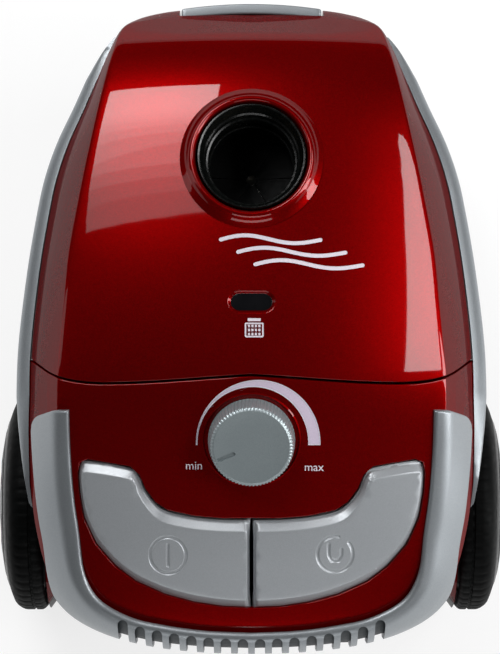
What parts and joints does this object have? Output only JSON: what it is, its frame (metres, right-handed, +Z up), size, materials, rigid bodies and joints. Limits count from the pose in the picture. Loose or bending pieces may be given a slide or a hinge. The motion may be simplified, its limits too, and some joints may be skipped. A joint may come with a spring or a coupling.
{
  "type": "canister vacuum cleaner",
  "caption": "Compact bagged canister vacuum cleaner with a hinged lid, two foot pedals, a suction dial, large rear wheels and a swivel caster.",
  "frame": {"origin": "on the floor, under the centre of the bounding box", "axes": "+Z up, +Y towards the nose with the lid latch, +X to the right seen from the tail"},
  "size_m": [0.2846, 0.3545, 0.2152],
  "materials": {
    "gloss_red": "glossy metallic red",
    "satin_silver": "satin silver paint",
    "black_plastic": "semi-gloss black",
    "dark_plastic": "fine grained",
    "rubber": "matt",
    "tyre": "matt, fine tread",
    "steel": "turned",
    "motor_steel": "zinc plated sheet",
    "copper": "copper windings and iron laminations",
    "paper": "filter paper",
    "board": "cardboard",
    "foam": "open-cell foam",
    "circuit": "circuit board",
    "lens": "smoked and polished",
    "signal_red": "red"
  },
  "bodies": {
    "body": {"axle_left": "steel", "axle_right": "steel", "bag_collar": "board", "bag_holder": "dark_plastic", "base_housing": "dark_plastic", "base_screw_1": "steel", "base_screw_2": "steel", "base_screw_3": "steel", "base_screw_4": "steel", "bulkhead": "dark_plastic", "carbon_brush_left": "black_plastic", "carbon_brush_right": "black_plastic", "control_board": "circuit", "cord_gland": "rubber", "dust_bag": "paper", "exhaust_filter": "paper", "exhaust_grille": "satin_silver", "fan_cover": "motor_steel", "filter_grille": "black_plastic", "lid_hinge_pin": "steel", "mainspring_case": "motor_steel", "motor_filter": "foam", "motor_frame": "motor_steel", "motor_mount": "rubber", "motor_seal": "rubber", "pedal_pin": "steel", "potentiometer": "motor_steel", "power_pedal_spring": "steel", "power_switch": "black_plastic", "rear_bumper": "satin_silver", "rear_cover": "gloss_red", "reel_frame": "dark_plastic", "rewind_pedal_spring": "steel", "side_rail_left": "satin_silver", "side_rail_right": "satin_silver", "stator": "copper", "switch_tray": "dark_plastic"},
    "lid": {"lid": "gloss_red", "hose_socket": "black_plastic", "socket_seal": "rubber", "indicator_window": "lens", "indicator_guide": "black_plastic", "latch_pin": "steel", "latch_spring": "steel"},
    "lid_latch": {"lid_latch": "satin_silver"},
    "indicator_flag": {"indicator_flag": "signal_red"},
    "power_pedal": {"power_pedal": "satin_silver"},
    "rewind_pedal": {"rewind_pedal": "satin_silver"},
    "switch_plunger": {"switch_plunger": "signal_red"},
    "brake_lever": {"brake_lever": "black_plastic"},
    "suction_knob": {"suction_knob": "satin_silver"},
    "wheel_left": {"wheel_left": "black_plastic", "tyre_left": "tyre"},
    "wheel_right": {"wheel_right": "black_plastic", "tyre_right": "tyre"},
    "caster_fork": {"caster_fork": "dark_plastic"},
    "caster_wheel": {"caster_wheel": "black_plastic"},
    "rotor": {"armature": "copper", "impeller": "motor_steel"},
    "reel_drum": {"reel_drum": "black_plastic"}
  },
  "joints": [
    {"name": "lid_hinge", "type": "hinge", "parent": "body", "child": "lid", "pos_m": [0, -0.0186, 0.2005], "axis": [1, 0, 0], "range_deg": [0, 70]},
    {"name": "lid_latch_pivot", "type": "hinge", "parent": "lid", "child": "lid_latch", "pos_m": [0, 0.1674, 0.131], "axis": [-1, 0, 0], "range_deg": [0, 9], "stiffness_Nm_per_rad": 0.6, "springref_deg": -5.73},
    {"name": "indicator_flag_slide", "type": "slide", "parent": "lid", "child": "indicator_flag", "axis": [1, 0, 0], "range_m": [0, 0.009], "stiffness_N_per_m": 6, "springref_m": -0.002},
    {"name": "power_pedal_press", "type": "hinge", "parent": "body", "child": "power_pedal", "pos_m": [0, -0.0736, 0.168], "axis": [1, 0, 0], "range_deg": [0, 4], "stiffness_Nm_per_rad": 3, "springref_deg": -1.72, "deforming": ["power_pedal_spring"]},
    {"name": "rewind_pedal_press", "type": "hinge", "parent": "body", "child": "rewind_pedal", "pos_m": [0, -0.0736, 0.168], "axis": [1, 0, 0], "range_deg": [0, 4], "stiffness_Nm_per_rad": 3, "springref_deg": -1.72, "deforming": ["rewind_pedal_spring"]},
    {"name": "switch_plunger_slide", "type": "slide", "parent": "body", "child": "switch_plunger", "axis": [0, 0, -1], "range_m": [0, 0.003]},
    {"name": "brake_lever_pivot", "type": "hinge", "parent": "body", "child": "brake_lever", "pos_m": [0.066, -0.1046, 0.147], "axis": [1, 0, 0], "range_deg": [0, 9.5]},
    {"name": "suction_knob_turn", "type": "hinge", "parent": "body", "child": "suction_knob", "pos_m": [0, -0.0631, 0.1966], "axis": [0, 0.342, -0.9397], "range_deg": [0, 224]},
    {"name": "wheel_left_spin", "type": "hinge", "parent": "body", "child": "wheel_left", "pos_m": [-0.125, -0.0946, 0.061], "axis": [1, 0, 0], "continuous": true},
    {"name": "wheel_right_spin", "type": "hinge", "parent": "body", "child": "wheel_right", "pos_m": [0.125, -0.0946, 0.061], "axis": [1, 0, 0], "continuous": true},
    {"name": "caster_swivel", "type": "hinge", "parent": "body", "child": "caster_fork", "pos_m": [0, 0.1224, 0.04], "axis": [0, 0, 1], "continuous": true},
    {"name": "caster_wheel_spin", "type": "hinge", "parent": "caster_fork", "child": "caster_wheel", "pos_m": [0, 0.1144, 0.018], "axis": [1, 0, 0], "continuous": true},
    {"name": "rotor_spin", "type": "hinge", "parent": "body", "child": "rotor", "pos_m": [-0.045, -0.0896, 0.086], "axis": [0, 1, 0], "continuous": true},
    {"name": "reel_spin", "type": "hinge", "parent": "body", "child": "reel_drum", "pos_m": [0.049, -0.0926, 0.09], "axis": [1, 0, 0], "continuous": true}
  ],
  "couplings": [
    {"joint": "switch_plunger_slide", "follows": "power_pedal_press", "m_per_rad": 0.038},
    {"joint": "brake_lever_pivot", "follows": "rewind_pedal_press", "ratio": 2.29}
  ]
}
